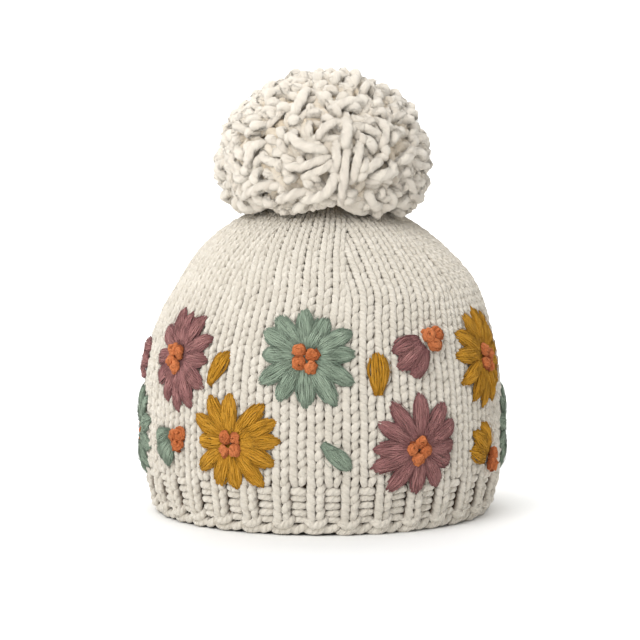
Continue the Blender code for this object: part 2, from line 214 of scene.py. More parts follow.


# Yarn material. Wool spun in several plies: matt, soft at its edges, with fine hairs that
# run along the twisted strand, and with painted warm shade, its third colour, where the strand sinks between
# its neighbours.
def spunWool(name, colours, hairDepth=0.35, plies=0, twist=0.0, sheen=0.25, shadeSpread=0.10, ball=None):
    material = bpy.data.materials.new(name)
    material.use_nodes = True
    tree = material.node_tree
    shader = tree.nodes["Principled BSDF"]
    ring = addNode(tree, "ShaderNodeAttribute", attribute_name="ring", out="Vector")
    along, tint, sunk = (addNode(tree, "ShaderNodeAttribute", attribute_name=label, out="Fac")
        for label in ("along", "tint", "sunk"))
    turn = addNode(tree, "ShaderNodeMath", {0: along, 1: twist}, operation="MULTIPLY")
    turned = addNode(tree, "ShaderNodeVectorRotate", {"Vector": ring, "Angle": turn},
        rotation_type="Z_AXIS")
    length = addNode(tree, "ShaderNodeCombineXYZ", {"Z": along})
    strand = addNode(tree, "ShaderNodeVectorMath", {0: length, 1: pattern["stretch"]}, operation="MULTIPLY")
    strand = addNode(tree, "ShaderNodeVectorMath", {0: strand, 1: turned}, operation="ADD")
    shift = addNode(tree, "ShaderNodeMath", {0: tint, 1: pattern["apart"]}, operation="MULTIPLY")
    strand = addNode(tree, "ShaderNodeVectorMath", {0: strand, 1: shift}, operation="ADD")
    hairs = addNode(tree, "ShaderNodeTexNoise", {"Vector": strand, "Scale": pattern["hairs"],
        "Detail": 3.0, "Roughness": 0.62})
    place = addNode(tree, "ShaderNodeTexCoord", out="Object")
    patches, lint = (addNode(tree, "ShaderNodeTexNoise", {
        "Vector": place, "Scale": pattern[label], "Detail": 2.0}) for label in ("patches", "lint"))
    mixed = addNode(tree, "ShaderNodeMath", {0: hairs, 1: 0.55}, operation="MULTIPLY")
    mixed = addNode(tree, "ShaderNodeMath", {0: patches, 1: 0.25, 2: mixed}, operation="MULTIPLY_ADD")
    mixed = addNode(tree, "ShaderNodeMath", {0: tint, 1: 0.20, 2: mixed}, operation="MULTIPLY_ADD")
    shade = addNode(tree, "ShaderNodeMapRange", {"Value": mixed, "From Min": 0.5 - 2 * shadeSpread,
        "From Max": 0.5 + 2 * shadeSpread})
    face = addNode(tree, "ShaderNodeMix", {"Factor": shade, "A": linearColour(colours[1]),
        "B": linearColour(colours[0])}, out=2, data_type="RGBA")
    # painted shade: the third colour is mixed in where the strand sinks between its neighbours
    deepShade = addNode(tree, "ShaderNodeMix", {"Factor": sunk, "A": face, "B": linearColour(colours[2])}, out=2,
        data_type="RGBA")
    tree.links.new(deepShade, shader.inputs["Base Color"])
    relief = addNode(tree, "ShaderNodeMath", {0: lint, 1: 0.5, 2: hairs}, operation="MULTIPLY_ADD")
    if plies:
        parts = addNode(tree, "ShaderNodeSeparateXYZ", {"Vector": turned}, out=None)
        angle = addNode(tree, "ShaderNodeMath", {0: parts.outputs[1], 1: parts.outputs[0]},
            operation="ARCTAN2")
        wave = addNode(tree, "ShaderNodeMath", {0: angle, 1: plies}, operation="MULTIPLY")
        wave = addNode(tree, "ShaderNodeMath", {0: wave}, operation="COSINE")
        relief = addNode(tree, "ShaderNodeMath", {0: wave, 1: 0.75, 2: relief}, operation="MULTIPLY_ADD")
    bump = addNode(tree, "ShaderNodeBump", {"Height": relief, "Strength": 1.0, "Distance": hairDepth * mm},
        out=None)
    if ball:
        # light scatters through loose wool, so its strands are shaded partly as the ball they form
        out = addNode(tree, "ShaderNodeVectorMath", {0: place, 1: ball}, operation="SUBTRACT")
        out = addNode(tree, "ShaderNodeVectorMath", {0: out}, operation="NORMALIZE")
        own = addNode(tree, "ShaderNodeNewGeometry", out="Normal")
        out = addNode(tree, "ShaderNodeMix", {"Factor": pattern["ballShare"], "A": own, "B": out},
            out=1, data_type="VECTOR")
        tree.links.new(out, bump.inputs["Normal"])
    tree.links.new(bump.outputs[0], shader.inputs["Normal"])
    surface = {
        "Roughness": 0.92, "Diffuse Roughness": 1.0, "IOR": 1.54, "Specular IOR Level": 0.25,
        "Sheen Weight": sheen, "Sheen Roughness": 0.45, "Sheen Tint": linearColour(colours[0])}
    for label, value in surface.items():
        shader.inputs[label].default_value = value
    return material


# Natural white super bulky wool, loosely spun: near white, with painted warm shade in the gaps
creamWool = spunWool("creamWoolSpun", ("EDE7DC", "DED7CA", "5C4631"), hairDepth=0.30, plies=3, twist=900.0)
# The pompom's yarn is the same wool, left loose, so it is softer. Its colours are painted light: lighter than
# the knit's, with warmer painted shade in the gaps
pompomWool = spunWool("creamWoolLoose", ("F3EDE2", "E9E1D5", "DFCBA9"), hairDepth=0.35, plies=2,
    twist=500.0, sheen=0.30, ball=(0.0, 0.0, 0.155))
# The same wool, seen only between the stitches and inside the hat: a darker, shaded copy with painted shade
# where it shows between the stitches
shadedCreamWoolBack = spunWool("creamWoolReverse", ("E0D8CC", "CEC4B6", "5C4732"))
# Embroidery wool, softly spun and fuzzy: several plies and many loose fibres. The third colour of each is
# painted shade
sageWool = spunWool("sageWoolSoft", ("B8C7B2", "889B87", "55685A"), hairDepth=0.30, plies=3, twist=260.0,
    sheen=0.40, shadeSpread=0.12)
mustardWool = spunWool("mustardWoolSoft", ("E5AF42", "C38A18", "946010"), hairDepth=0.26, plies=3,
    twist=260.0, sheen=0.10, shadeSpread=0.12)
mauveWool = spunWool("mauveWoolSoft", ("C8948E", "986364", "5A2E35"), hairDepth=0.30, plies=3, twist=260.0,
    sheen=0.22, shadeSpread=0.12)
orangeWool = spunWool("orangeWoolKnotted", ("E2905C", "C56A36", "843A14"), hairDepth=0.32, plies=3,
    twist=900.0, sheen=0.08, shadeSpread=0.12)


# A shift that changes from place to place, with waves about as long as one unit of the places
def noiseShift(tree, places, detail, amount):
    noise = addNode(tree, "ShaderNodeTexNoise", {"Vector": places, "Scale": 1.0, "Detail": detail},
        out="Color")
    noise = addNode(tree, "ShaderNodeVectorMath", {0: noise, 1: (0.5, 0.5, 0.5)}, operation="SUBTRACT")
    return addNode(tree, "ShaderNodeVectorMath", {0: noise, 3: amount}, operation="SCALE")


# Wool is never quite even: pushes the skin about by lumps of one size
def lumpy(tree, geometry, depth, length):
    skin = addNode(tree, "GeometryNodeInputPosition")
    scaled = addNode(tree, "ShaderNodeVectorMath", {0: skin, 3: 1 / length}, operation="SCALE")
    return addNode(tree, "GeometryNodeSetPosition", {
        "Geometry": geometry, "Offset": noiseShift(tree, scaled, 1.0, depth)})


# A random turn or shift for each instance, up to so much either way
def eitherWay(tree, reach, amount, seed):
    reach = addNode(tree, "ShaderNodeVectorMath", {0: reach, 3: amount}, operation="SCALE")
    back = addNode(tree, "ShaderNodeVectorMath", {0: reach, 3: -1.0}, operation="SCALE")
    return addNode(tree, "FunctionNodeRandomValue", {0: back, 1: reach, 8: seed}, out=0,
        data_type="FLOAT_VECTOR")


# 0 in the middle of a strand and 1 at both its ends
def nearEnds(tree, share, power):
    away = addNode(tree, "ShaderNodeMath", {0: share, 1: 2.0, 2: -1.0}, operation="MULTIPLY_ADD")
    away = addNode(tree, "ShaderNodeMath", {0: away}, operation="ABSOLUTE")
    return addNode(tree, "ShaderNodeMath", {0: away, 1: power}, operation="POWER")


# Stands a piece on every point, turned and sized by the point's attributes
def standOnPoints(tree, points, piece):
    read = {}
    for label in ("outDir", "acrossDir", "size"):
        read[label] = addNode(tree, "GeometryNodeInputNamedAttribute", {"Name": label},
            data_type="FLOAT_VECTOR")
    facing = addNode(tree, "FunctionNodeAxesToRotation", {
        "Primary Axis": read["outDir"], "Secondary Axis": read["acrossDir"]},
        primary_axis="Z", secondary_axis="X")
    return addNode(tree, "GeometryNodeInstanceOnPoints", {
        "Points": points, "Instance": piece, "Rotation": facing, "Scale": read["size"]})


# Makes what stands on the points real, with a random tint for each
def realWithTint(tree, placed, seed):
    tint = addNode(tree, "FunctionNodeRandomValue", {2: 0.0, 3: 1.0, 8: seed}, out=1, data_type="FLOAT")
    placed = addNode(tree, "GeometryNodeStoreNamedAttribute", {
        "Geometry": placed, "Name": "tint", "Value": tint}, data_type="FLOAT", domain="INSTANCE")
    return addNode(tree, "GeometryNodeRealizeInstances", {"Geometry": placed})


# Gives strands their thickness. The wool reads the place along a strand and the one round it.
def tubeAlong(tree, strands, thick, sides):
    length = addNode(tree, "GeometryNodeSplineParameter", out="Length")
    strands = addNode(tree, "GeometryNodeStoreNamedAttribute", {
        "Geometry": strands, "Name": "along", "Value": length}, data_type="FLOAT", domain="POINT")
    loop = addNode(tree, "GeometryNodeCurvePrimitiveCircle", {"Resolution": sides, "Radius": 1.0})
    ring = addNode(tree, "GeometryNodeInputPosition")
    loop = addNode(tree, "GeometryNodeStoreNamedAttribute", {
        "Geometry": loop, "Name": "ring", "Value": ring}, data_type="FLOAT_VECTOR", domain="POINT")
    return addNode(tree, "GeometryNodeCurveToMesh", {
        "Curve": strands, "Profile Curve": loop, "Scale": thick, "Fill Caps": True})


def endTree(tree, real, yarn):
    real = addNode(tree, "GeometryNodeSetShadeSmooth", {"Geometry": real, "Shade Smooth": True})
    real = addNode(tree, "GeometryNodeSetMaterial", {"Geometry": real, "Material": yarn})
    addNode(tree, "NodeGroupOutput", {"Geometry": real}, out=None)


# One short stroke of yarn on every point: a bent tube whose ends dive into the cloth
def makeStrokeTree():
    tree, given = startTree("yarn strokes", {
        "Foot": "Vector", "Foot Handle": "Vector", "Head Handle": "Vector", "Head": "Vector",
        "Yarn Radius": "Float", "Taper": "Float", "Steps": "Int", "Sides": "Int",
        "Wander": "Float", "Seed": "Int", "Yarn": "Material",
    })
    arc = addNode(tree, "GeometryNodeCurvePrimitiveBezierSegment", {
        "Resolution": 16, "Start": given["Foot"], "Start Handle": given["Foot Handle"],
        "End Handle": given["Head Handle"], "End": given["Head"]}, mode="POSITION")
    count = addNode(tree, "ShaderNodeMath", {0: given["Steps"], 1: 1.0}, operation="ADD")
    arc = addNode(tree, "GeometryNodeResampleCurve", {"Curve": arc, "Count": count})
    share = addNode(tree, "GeometryNodeSplineParameter", out="Factor")
    thin = nearEnds(tree, share, 3.0)
    thin = addNode(tree, "ShaderNodeMath", {0: thin, 1: given["Taper"]}, operation="MULTIPLY")
    thin = addNode(tree, "ShaderNodeMath", {0: 1.0, 1: thin}, operation="SUBTRACT")
    thin = addNode(tree, "ShaderNodeMath", {0: thin, 1: given["Yarn Radius"]}, operation="MULTIPLY")
    tube = tubeAlong(tree, arc, thin, given["Sides"])
    # painted shade: the deeper the yarn lies under the hat's outline, the more of the wool's shade colour it
    # takes
    local = addNode(tree, "ShaderNodeSeparateXYZ", {
        "Vector": addNode(tree, "GeometryNodeInputPosition")}, out=None)
    deepShade = addNode(tree, "ShaderNodeMapRange", {"Value": local.outputs[2], "From Min": -1.0 * mm,
        "From Max": -2.8 * mm})
    tube = addNode(tree, "GeometryNodeStoreNamedAttribute", {"Geometry": tube, "Name": "sunk",
        "Value": deepShade}, data_type="FLOAT", domain="POINT")
    placed = standOnPoints(tree, given["Geometry"], tube)
    swing = eitherWay(tree, (0.10, 0.10, 0.14), given["Wander"], given["Seed"])
    placed = addNode(tree, "GeometryNodeRotateInstances", {"Instances": placed, "Rotation": swing})
    otherSeed = addNode(tree, "ShaderNodeMath", {0: given["Seed"], 1: 11.0}, operation="ADD")
    nudge = eitherWay(tree, (0.22 * mm, 0.3 * mm, 0.3 * mm), given["Wander"], otherSeed)
    placed = addNode(tree, "GeometryNodeTranslateInstances", {"Instances": placed, "Translation": nudge})
    real = realWithTint(tree, placed, given["Seed"])
    # the painted shade is made weaker or stronger by each point's shade
    deepShade, shade = (addNode(tree, "GeometryNodeInputNamedAttribute", {"Name": label}, data_type="FLOAT")
        for label in ("sunk", "shade"))
    deepShade = addNode(tree, "ShaderNodeMath", {0: deepShade, 1: shade}, operation="MULTIPLY")
    real = addNode(tree, "GeometryNodeStoreNamedAttribute", {"Geometry": real, "Name": "sunk",
        "Value": deepShade}, data_type="FLOAT", domain="POINT")
    lumps = addNode(tree, "ShaderNodeMath", {0: shade, 1: 1.0 * mm, 2: 0.35 * mm}, operation="MULTIPLY_ADD")
    endTree(tree, lumpy(tree, real, lumps, 2.2 * mm), given["Yarn"])
    return tree


strokeTree = makeStrokeTree()


# Places for the strokes of one kind, from lists of (column, arc, lift, size, shade), where the
# shade says how strong the painted shade is where the yarn sinks, and how lumpy the yarn is
def stitchPoints(name, spots):
    column, arc, lift, sx, sy, sz, shade = (np.array(v, float) for v in zip(*spots))
    place, out = onHat(columnAt(column, arc)[0], arc, lift)
    step = 1.2 * mm
    above, _ = onHat(columnAt(column, arc + step)[0], arc + step, lift)
    below, _ = onHat(columnAt(column, arc - step)[0], arc - step, lift)
    up = (above - below) / (2 * step)
    across = np.cross(up, out)
    slant = np.linalg.norm(across, axis=-1)  # how much longer the column is than the rows it climbs
    across /= slant[:, None]
    size = np.stack((sx / slant, sy * slant, sz), -1)
    return pointCloud(name, place, {"outDir": out, "acrossDir": across, "size": size, "shade": shade})


def vectorMm(x, y, z):
    return (x * mm, y * mm, z * mm)


knit = {
    "yarnRadius": 1.95 * mm,
    "firstRow": 5.6 * mm,  # arc of the lowest row of knit stitches
    "firstPlainRow": 23.0 * mm,  # purl columns turn to plain knitting here
    "lastRow": arcToApex - 6 * mm,
    "ribLift": 0.5 * mm,  # knit columns of the rib stand proud
    "narrow": (0.6, 1.00909),  # widths of a column at which the painted shade in its gaps is palest and darkest
    "pale": (0.088, 0.108),  # heights between which the painted shade in the gaps gets paler
    "gapShades": ((0.1, 1.0), (1.0, 0.45)),  # strengths of the painted gap shade, for the two lines above
    "crowdedSink": 1.2 * mm,
    "ribWidth": 1.06,
    "ribEnds": 6 * mm,  # the rib gets flat over this length
    "taper": 0.45,
    "sides": 7,
    "steps": 5,
    # each leg of a stitch, with its yarn's centre line from its foot to its head in mm
    "legs": {
        "leftLeg": {"thick": 1.03, "wander": 0.5, "line": {
            "foot": (-1.25, -3.5, -2.7), "footHandle": (-1.45, -1.6, -1.55),
            "headHandle": (-2.15, 1.2, -1.6), "head": (-2.55, 3.4, -3.0)}},
        "rightLeg": {"thick": 0.93, "wander": 1.0, "line": {
            "foot": (0.75, -3.0, -3.1), "footHandle": (1.25, -1.3, -1.0),
            "headHandle": (2.5, 0.9, -1.1), "head": (3.15, 3.0, -3.7)}},
    },
}


def knitStitches():
    fullWidth = 2 * math.pi * hat["width"] / 2 * (1 + depthRatio) / 2 / hat["columns"]
    full = hat["columns"] / hat["sectors"]
    pieces = []
    for part in range(3):
        spots = []
        for column in range(22 * part, 22 * part + 22):
            for arc in np.arange(knit["firstRow"], knit["lastRow"], hat["row"]):
                left = float(columnsInWedge(arc))
                edge = left - float(columnAt(column, arc)[1])
                if edge < -0.4:
                    break
                ribbed = arc < knit["firstPlainRow"]
                if ribbed and column % 2:
                    continue
                # the column at the wedge's edge sinks as it runs into the line of decreases
                crowded = max(0.0, 0.5 - edge) * min(1.0, 2 * (full - left))
                proud = knit["ribLift"] * min(1.0, max(0.0, (knit["firstPlainRow"] - arc) / knit["ribEnds"]))
                radius = float(np.interp(arc, profileArcs, profileRadii))
                width = 2 * math.pi * radius * (1 + depthRatio) / 2 / hat["sectors"] / left
                sx = width / fullWidth * (knit["ribWidth"] if ribbed else 1.0)
                height = np.interp(arc, profileArcs, profileHeights)
                # painted shade in the gaps: weaker where the columns are narrow and higher up the crown
                byWidth, byHeight = knit["gapShades"]
                shade = np.interp(sx, knit["narrow"], byWidth) * np.interp(height, knit["pale"], byHeight)
                lift = proud - crowded * knit["crowdedSink"]
                spots.append((column, arc, lift, sx, 1.0, min(1.0, sx) ** 1.4, shade))
        legs = []
        for side, leg in knit["legs"].items():
            shape = {k: vectorMm(*v) for k, v in leg["line"].items()}
            piece = stitchPoints(f"{side}{part}", spots)
            grow(piece, strokeTree, yarnRadius=knit["yarnRadius"] * leg["thick"], taper=knit["taper"],
                 steps=knit["steps"], sides=knit["sides"], wander=leg["wander"], seed=part,
                 yarn=creamWool, **shape)
            legs.append(piece)
        pieces.append(joined(f"knitStitches{part + 1}", legs))
    return pieces


def joined(name, parts):
    for part in bpy.context.selected_objects:
        part.select_set(False)
    for part in parts:
        part.select_set(True)
    bpy.context.view_layer.objects.active = parts[0]
    bpy.ops.object.join()
    parts[0].name = parts[0].data.name = name
    return parts[0]


rib = {
    "bars": 5,
    "lowestBar": 6.4 * mm,
    "barStep": 3.45 * mm,
    "barLift": -1.1 * mm,
    "shade": 0.65,  # how strong the painted shade is where its yarn sinks
    "topBar": (-0.2 * mm, 1.18),  # lift and thickness of the bar that turns into plain knitting
    # the strokes of the band and of its cast-on edge, with their lines in mm as above
    "strokes": {
        "bar": {"radius": 1.72 * mm, "line": {
            "foot": (-4.0, -0.7, -3.6), "footHandle": (-2.2, 0.7, -0.9),
            "headHandle": (2.2, 0.7, -0.9), "head": (4.0, -0.7, -3.6)}},
        "wrap": {"radius": 1.85 * mm, "arc": 5.2 * mm, "lift": 0.1 * mm, "line": {
            "foot": (-4.6, 1.6, -3.2), "footHandle": (-2.6, -1.3, 0.3),
            "headHandle": (2.8, -1.3, 0.3), "head": (4.9, 3.4, -3.2)}},
        "broadStroke": {"radius": 2.0 * mm, "arc": 2.0 * mm, "lift": 0.0, "line": {
            "foot": (-5.6, -0.8, -3.4), "footHandle": (-2.8, -0.7, -0.9),
            "headHandle": (2.8, 0.1, -0.9), "head": (5.8, 1.6, -3.4)}},
        "slantStroke": {"radius": 1.9 * mm, "arc": 2.3 * mm, "lift": -0.3 * mm, "line": {
            "foot": (-4.3, -1.2, -3.0), "footHandle": (-2.2, -1.2, -1.1),
            "headHandle": (1.6, 0.8, -1.1), "head": (3.6, 2.4, -3.4)}},
    },
}


def ribAndCastOn():
    kinds = {kind: [] for kind in rib["strokes"]}
    for column in range(hat["columns"]):
        if column % 2:
            for bar in range(rib["bars"]):
                lift, thick = rib["topBar"] if bar == rib["bars"] - 1 else (rib["barLift"], 1.0)
                arc = rib["lowestBar"] + rib["barStep"] * bar
                kinds["bar"].append((column, arc, lift, 1.0, thick, thick, rib["shade"]))
        for kind in ("slantStroke",) if column % 2 else ("wrap", "broadStroke"):
            stroke = rib["strokes"][kind]
            kinds[kind].append((column, stroke["arc"], stroke["lift"], 1.0, 1.0, 1.0, rib["shade"]))
    grown = []
    for kind, spots in kinds.items():
        piece = stitchPoints(kind, spots)
        shape = {k: vectorMm(*v) for k, v in rib["strokes"][kind]["line"].items()}
        grow(piece, strokeTree, yarnRadius=rib["strokes"][kind]["radius"], taper=0.4, steps=8, sides=10,
             wander=0.7, seed=3, yarn=creamWool, **shape)
        grown.append(piece)
    return joined("castOnAndPurls", grown)


# The back of the cloth: a closed shell just under the stitches, with purl ridges inside. Its outside carries
# painted shade where it shows between the stitches
backing = {"outerLift": -3.5 * mm, "crownLift": -2.5 * mm, "rings": 56, "around": 198, "ridge": 0.8 * mm}


def clothBack():
    around, rings = backing["around"], backing["rings"]
    azimuth = np.arange(around) * 2 * math.pi / around
    outerArcs = np.linspace(0.8 * mm, arcToApex - 1.5 * mm, 20)
    innerArcs = np.linspace(0.8 * mm, arcToApex - 1.5 * mm, rings * 2)
    verts, faces = [], []
    for arc in outerArcs:
        lift = np.interp(arc, arcAt(knit["pale"]), (backing["outerLift"], backing["crownLift"]))
        place, _ = onHat(azimuth, arc, np.full(around, lift))
        verts += place.tolist()
    for arc in innerArcs[::-1]:
        wave = np.cos(2 * math.pi * arc / hat["row"] + 1.4 * np.cos(hat["columns"] * azimuth))
        lift = -hat["cloth"] + backing["ridge"] * 0.5 * (1 - wave) * min(1, (arcToApex - arc) / 0.02)
        place, _ = onHat(azimuth, arc, lift)
        verts += place.tolist()
    count = len(outerArcs) + len(innerArcs)
    top, inner = len(outerArcs) - 1, len(outerArcs)
    for ring in range(count):
        if ring == top:
            continue
        after = (ring + 1) % count
        for i in range(around):
            j = (i + 1) % around
            faces.append((ring * around + i, ring * around + j, after * around + j, after * around + i))
    for ring, lift, flip in ((top, backing["crownLift"], False), (inner, -hat["cloth"], True)):
        verts.append((0, 0, hat["height"] + lift))
        for i in range(around):
            j = (i + 1) % around
            corner = (ring * around + i, ring * around + j, len(verts) - 1)
            faces.append(corner[::-1] if flip else corner)
    mesh = bpy.data.meshes.new("clothBack")
    mesh.from_pydata(verts, [], faces)
    mesh.shade_smooth()
    mesh.materials.append(shadedCreamWoolBack)
    # painted shade: dark between the stitches of the body, lighter at the rim and where the crown's stitches
    # are small
    shades = np.zeros(len(verts))
    rows = np.interp(outerArcs, (0, 25 * mm, *arcAt(knit["pale"]), arcAt(0.135)), (0.7, 1.0, 0.9, 0.4, 0.1))
    shades[: len(outerArcs) * around] = np.repeat(rows, around)
    mesh.attributes.new("sunk", "FLOAT", "POINT").data.foreach_set("value", shades)
    return linked("clothBack", mesh)


# The pompom: a lumpy heart of yarn, strands that lie over it and loops that stand out of it.
# Places on it are an azimuth and an angle above its widest round, in degrees.
pompom = {
    "centre": (0.0006, 0.0, 0.1569),
    "radius": 0.0472,
    "up": 0.0416,  # from its widest round to its top
    "down": 0.0352,
    "yarnRadius": 2.15 * mm,
    "lowest": -38,  # angle of the lowest strands
    # where it rests on the crown: height in the middle, fall to the sides, unevenness
    "seat": {"height": hat["height"] - 2.7 * mm, "fall": -6.3, "lumps": 10 * mm, "lumpScale": 70.0},
    # how the strands of a kind lie. Depth and rise are shares of the way from the middle out.
    "lying": {"count": 460, "seed": 5, "length": (16 * mm, 30 * mm), "depth": (0.895, 0.965),
              "rise": (-0.01, 0.02), "bury": (0.05, 0.16), "stray": 0.35},
    "loops": {"count": 390, "seed": 8, "length": (5 * mm, 9 * mm), "depth": (0.85, 0.89),
              "rise": (0.10, 0.175), "bury": (0.0, 0.05), "stray": 0.8},
    "fuzz": {"count": 500, "seed": 12, "length": (6 * mm, 13 * mm), "depth": (1.0, 1.04),
             "rise": (-0.02, 0.04), "bury": (0.02, 0.08), "stray": 2.0},
    # the long loose strands in front: where they start, pass and end
    "looseStrands": (
        ((-18, 25), (-13, 16), (3, 12)), ((-4, 20), (2, 27), (11, 30)), ((13, 33), (13, 22), (12, 14)),
        ((8, 18), (6, 8), (6, -3)), ((6, 1), (0, -16), (-15, -22)), ((14, 17), (10, -4), (11, -31)),
        ((20, 18), (18, 6), (14, -10)), ((22, -1), (26, 3), (32, 5)), ((27, -5), (34, -3), (42, -1)),
        ((26, -16), (29, -25), (36, -27)), ((35, -27), (42, -25), (38, -15)), ((-22, 3), (-11, 3), (4, 9)),
        ((-46, -1), (-42, 10), (-36, 17)), ((-58, -23), (-42, -15), (-29, -9)),
        ((35, 33), (37, 23), (33, 14)), ((50, -6), (55, -14), (64, -23)), ((-12, -5), (-4, -1), (5, 5)),
        ((5, 37), (17, 43), (30, 43)), ((-22, 35), (-17, 46), (-18, 56)), ((-28, -23), (-19, -18), (-9, -15)),
    ),
}


# The line through root, middle and tip of the point that a strand stands on
def throughThree(tree, share):
    rest = addNode(tree, "ShaderNodeMath", {0: 1.0, 1: share}, operation="SUBTRACT")
    half = addNode(tree, "ShaderNodeMath", {0: share, 1: -2.0, 2: 1.0}, operation="MULTIPLY_ADD")
    path = None
    for label, first, second, factor in (
            ("root", rest, half, 1.0), ("middle", share, rest, 4.0), ("tip", share, half, -1.0)):
        place = addNode(tree, "GeometryNodeInputNamedAttribute", {"Name": label}, data_type="FLOAT_VECTOR")
        weight = addNode(tree, "ShaderNodeMath", {0: first, 1: second}, operation="MULTIPLY")
        weight = addNode(tree, "ShaderNodeMath", {0: weight, 1: factor}, operation="MULTIPLY")
        part = addNode(tree, "ShaderNodeVectorMath", {0: place, 3: weight}, operation="SCALE")
        path = part if path is None else addNode(tree, "ShaderNodeVectorMath", {0: path, 1: part},
            operation="ADD")
    return path


# The same wandering for all points of a strand's neighbourhood, apart from its own drift
def strayed(tree, path, drift, length, amount):
    scaled = addNode(tree, "ShaderNodeVectorMath", {0: path, 1: length}, operation="DIVIDE")
    scaled = addNode(tree, "ShaderNodeVectorMath", {0: scaled, 1: drift}, operation="ADD")
    shift = noiseShift(tree, scaled, 0.5, amount)
    return addNode(tree, "ShaderNodeVectorMath", {0: path, 1: shift}, operation="ADD")


# Puts a straight line on every point and makes it real, with a random tint of its own
def linesOnPoints(tree, points, steps, seed):
    count = addNode(tree, "ShaderNodeMath", {0: steps, 1: 1.0}, operation="ADD")
    line = addNode(tree, "GeometryNodeCurvePrimitiveLine", {"Start": (0, 0, 0), "End": (0, 0, 1 * mm)})
    line = addNode(tree, "GeometryNodeResampleCurve", {"Curve": line, "Count": count})
    placed = addNode(tree, "GeometryNodeInstanceOnPoints", {"Points": points, "Instance": line})
    return realWithTint(tree, placed, seed)


# Ends a tree of strands: their thickness, a lumpy surface where it is asked for, their wool
def finishStrands(tree, strands, thick, sides, yarn, lumps=0.0, lumpLength=1.6 * mm):
    real = tubeAlong(tree, strands, thick, sides)
    if lumps:
        real = lumpy(tree, real, lumps, lumpLength)
    endTree(tree, real, yarn)


# How far the pompom reaches sideways and up or down, for places measured from its middle
def pompomRadii(tree, place, given):
    parts = addNode(tree, "ShaderNodeSeparateXYZ", {"Vector": place}, out=None)
    above = addNode(tree, "ShaderNodeMath", {0: parts.outputs[2], 1: 0.0}, operation="GREATER_THAN")
    tall = addNode(tree, "ShaderNodeMapRange", {"Value": above, "To Min": given["Down"],
        "To Max": given["Up"]})
    return addNode(tree, "ShaderNodeCombineXYZ", {"X": given["Radius"], "Y": given["Radius"], "Z": tall})


# What would sink into the crown of the hat rests on it unevenly, higher in front than at the sides
def aboveCrown(tree, place):
    parts = addNode(tree, "ShaderNodeSeparateXYZ", {"Vector": place}, out=None)
    flat = addNode(tree, "ShaderNodeVectorMath", {0: place, 1: (1.0, 0.6, 0.0)}, operation="MULTIPLY")
    spread = addNode(tree, "ShaderNodeVectorMath", {0: flat, 1: flat}, out="Value", operation="DOT_PRODUCT")
    seat = pompom["seat"]
    crown = addNode(tree, "ShaderNodeMath", {0: spread, 1: seat["fall"], 2: seat["height"]},
        operation="MULTIPLY_ADD")
    uneven = addNode(tree, "ShaderNodeTexNoise", {"Vector": place, "Scale": seat["lumpScale"],
        "Detail": 0.0})
    crown = addNode(tree, "ShaderNodeMath", {0: uneven, 1: seat["lumps"], 2: crown},
        operation="MULTIPLY_ADD")
    height = addNode(tree, "ShaderNodeMath", {0: parts.outputs[2], 1: crown}, operation="MAXIMUM")
    return addNode(tree, "ShaderNodeCombineXYZ", {"X": parts.outputs[0], "Y": parts.outputs[1],
        "Z": height})


